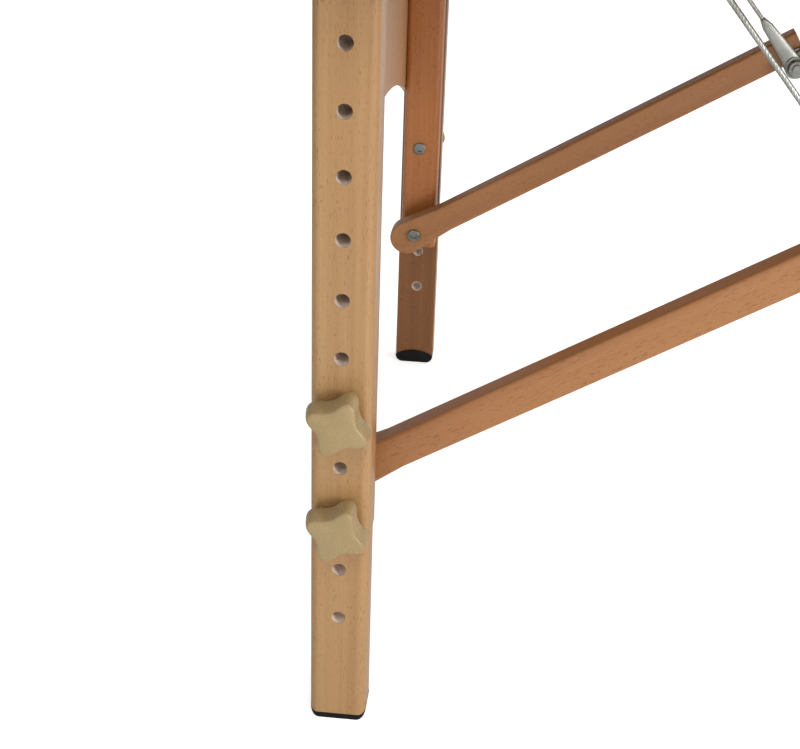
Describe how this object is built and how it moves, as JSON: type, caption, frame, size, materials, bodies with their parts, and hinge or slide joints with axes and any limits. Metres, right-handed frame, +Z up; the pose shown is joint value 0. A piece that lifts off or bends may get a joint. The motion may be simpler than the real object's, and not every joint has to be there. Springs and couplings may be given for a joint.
{
  "type": "folding massage table",
  "caption": "Folding wooden massage table: padded two-part top, legs of adjustable height with star knobs, arched end boards, slanted braces and wire stays.",
  "frame": {"origin": "on the floor, under the centre of the table", "axes": "+X along the table, +Y across it, +Z up"},
  "size_m": [1.868, 0.668, 0.639],
  "materials": {
    "leg_wood": "satin lacquered beech",
    "frame_wood": "satin lacquered beech",
    "panel_wood": "satin lacquered beech",
    "brace_wood": "satin lacquered beech, darker",
    "plywood": "raw plywood",
    "upholstery": "cream artificial leather",
    "knob_plastic": "satin cream plastic",
    "rubber": "matt black rubber",
    "zinc_steel": "zinc-plated steel",
    "wire_rope": "galvanised wire rope with pressed ends"
  },
  "bodies": {
    "half_a": {"side_rails_a": "frame_wood", "end_rail_a": "frame_wood", "centre_rail_a": "frame_wood", "leg_pivot_blocks_a": "frame_wood", "deck_panel_a": "plywood", "cushion_a": "upholstery", "leg_pivot_bolts_a": "zinc_steel", "link_brackets_a": "zinc_steel", "stay_anchors_a": "zinc_steel", "hinge_leaves_a": "zinc_steel", "hinge_pins": "zinc_steel"},
    "legs_a": {"inner_leg_front_a": "leg_wood", "inner_leg_back_a": "leg_wood", "end_panel_a": "panel_wood", "leg_bolts_a": "zinc_steel"},
    "braces_a": {"braces_a": "brace_wood", "knee_plates_a": "zinc_steel", "knee_bolts_a": "zinc_steel"},
    "links_a": {"upper_links_a": "zinc_steel"},
    "stays_a": {"stay_cables_a": "wire_rope"},
    "outer_leg_front_a": {"outer_leg_front_a": "leg_wood", "rubber_foot_front_a": "rubber"},
    "knob_front_lower_a": {"knob_front_lower_a": "knob_plastic"},
    "knob_front_upper_a": {"knob_front_upper_a": "knob_plastic"},
    "outer_leg_back_a": {"outer_leg_back_a": "leg_wood", "rubber_foot_back_a": "rubber"},
    "knob_back_lower_a": {"knob_back_lower_a": "knob_plastic"},
    "knob_back_upper_a": {"knob_back_upper_a": "knob_plastic"},
    "half_b": {"side_rails_b": "frame_wood", "end_rail_b": "frame_wood", "centre_rail_b": "frame_wood", "leg_pivot_blocks_b": "frame_wood", "deck_panel_b": "plywood", "cushion_b": "upholstery", "leg_pivot_bolts_b": "zinc_steel", "link_brackets_b": "zinc_steel", "stay_anchors_b": "zinc_steel", "hinge_leaves_b": "zinc_steel"},
    "legs_b": {"inner_leg_front_b": "leg_wood", "inner_leg_back_b": "leg_wood", "end_panel_b": "panel_wood", "leg_bolts_b": "zinc_steel"},
    "braces_b": {"braces_b": "brace_wood", "knee_plates_b": "zinc_steel", "knee_bolts_b": "zinc_steel"},
    "links_b": {"upper_links_b": "zinc_steel"},
    "stays_b": {"stay_cables_b": "wire_rope"},
    "outer_leg_front_b": {"outer_leg_front_b": "leg_wood", "rubber_foot_front_b": "rubber"},
    "knob_front_lower_b": {"knob_front_lower_b": "knob_plastic"},
    "knob_front_upper_b": {"knob_front_upper_b": "knob_plastic"},
    "outer_leg_back_b": {"outer_leg_back_b": "leg_wood", "rubber_foot_back_b": "rubber"},
    "knob_back_lower_b": {"knob_back_lower_b": "knob_plastic"},
    "knob_back_upper_b": {"knob_back_upper_b": "knob_plastic"}
  },
  "joints": [
    {"name": "table_fold", "type": "hinge", "parent": "half_a", "child": "half_b", "pos_m": [0, 0, 0.47], "axis": [0, 1, 0], "range_deg": [0, 180]},
    {"name": "legs_a_fold", "type": "hinge", "parent": "half_a", "child": "legs_a", "pos_m": [-0.885, 0, 0.54], "axis": [0, -1, 0], "range_deg": [0, 90]},
    {"name": "braces_a_fold", "type": "hinge", "parent": "legs_a", "child": "braces_a", "pos_m": [-0.885, 0, 0.148], "axis": [0, -1, 0], "range_deg": [-123.1, 0]},
    {"name": "links_a_fold", "type": "hinge", "parent": "braces_a", "child": "links_a", "pos_m": [-0.5815, 0, 0.316], "axis": [0, -1, 0], "range_deg": [0, 177.7]},
    {"name": "stays_a_swing", "type": "hinge", "parent": "braces_a", "child": "stays_a", "pos_m": [-0.5815, 0, 0.316], "axis": [0, -1, 0], "range_deg": [0, 82.6]},
    {"name": "outer_leg_front_a_height", "type": "slide", "parent": "legs_a", "child": "outer_leg_front_a", "axis": [0, 0, 1], "range_m": [-0.14, 0.07]},
    {"name": "knob_front_lower_a_turn", "type": "hinge", "parent": "legs_a", "child": "knob_front_lower_a", "pos_m": [-0.885, -0.2803, 0.148], "axis": [0, -1, 0], "continuous": true},
    {"name": "knob_front_upper_a_turn", "type": "hinge", "parent": "legs_a", "child": "knob_front_upper_a", "pos_m": [-0.885, -0.2803, 0.218], "axis": [0, -1, 0], "continuous": true},
    {"name": "outer_leg_back_a_height", "type": "slide", "parent": "legs_a", "child": "outer_leg_back_a", "axis": [0, 0, 1], "range_m": [-0.14, 0.07]},
    {"name": "knob_back_lower_a_turn", "type": "hinge", "parent": "legs_a", "child": "knob_back_lower_a", "pos_m": [-0.885, 0.2803, 0.148], "axis": [0, 1, 0], "continuous": true},
    {"name": "knob_back_upper_a_turn", "type": "hinge", "parent": "legs_a", "child": "knob_back_upper_a", "pos_m": [-0.885, 0.2803, 0.218], "axis": [0, 1, 0], "continuous": true},
    {"name": "legs_b_fold", "type": "hinge", "parent": "half_b", "child": "legs_b", "pos_m": [0.885, 0, 0.54], "axis": [0, 1, 0], "range_deg": [0, 90]},
    {"name": "braces_b_fold", "type": "hinge", "parent": "legs_b", "child": "braces_b", "pos_m": [0.885, 0, 0.148], "axis": [0, 1, 0], "range_deg": [-123.1, 0]},
    {"name": "links_b_fold", "type": "hinge", "parent": "braces_b", "child": "links_b", "pos_m": [0.5815, 0, 0.316], "axis": [0, 1, 0], "range_deg": [0, 177.7]},
    {"name": "stays_b_swing", "type": "hinge", "parent": "braces_b", "child": "stays_b", "pos_m": [0.5815, 0, 0.316], "axis": [0, 1, 0], "range_deg": [0, 82.6]},
    {"name": "outer_leg_front_b_height", "type": "slide", "parent": "legs_b", "child": "outer_leg_front_b", "axis": [0, 0, 1], "range_m": [-0.14, 0.07]},
    {"name": "knob_front_lower_b_turn", "type": "hinge", "parent": "legs_b", "child": "knob_front_lower_b", "pos_m": [0.885, -0.2803, 0.148], "axis": [0, -1, 0], "continuous": true},
    {"name": "knob_front_upper_b_turn", "type": "hinge", "parent": "legs_b", "child": "knob_front_upper_b", "pos_m": [0.885, -0.2803, 0.218], "axis": [0, -1, 0], "continuous": true},
    {"name": "outer_leg_back_b_height", "type": "slide", "parent": "legs_b", "child": "outer_leg_back_b", "axis": [0, 0, 1], "range_m": [-0.14, 0.07]},
    {"name": "knob_back_lower_b_turn", "type": "hinge", "parent": "legs_b", "child": "knob_back_lower_b", "pos_m": [0.885, 0.2803, 0.148], "axis": [0, 1, 0], "continuous": true},
    {"name": "knob_back_upper_b_turn", "type": "hinge", "parent": "legs_b", "child": "knob_back_upper_b", "pos_m": [0.885, 0.2803, 0.218], "axis": [0, 1, 0], "continuous": true}
  ],
  "couplings": [
    {"joint": "legs_a_fold", "follows": "table_fold", "ratio": 0.5},
    {"joint": "braces_a_fold", "follows": "table_fold", "ratio": -0.68372},
    {"joint": "links_a_fold", "follows": "table_fold", "ratio": 0.98683},
    {"joint": "stays_a_swing", "follows": "table_fold", "ratio": 0.4585},
    {"joint": "legs_b_fold", "follows": "table_fold", "ratio": 0.5},
    {"joint": "braces_b_fold", "follows": "table_fold", "ratio": -0.68372},
    {"joint": "links_b_fold", "follows": "table_fold", "ratio": 0.98683},
    {"joint": "stays_b_swing", "follows": "table_fold", "ratio": 0.4585}
  ]
}
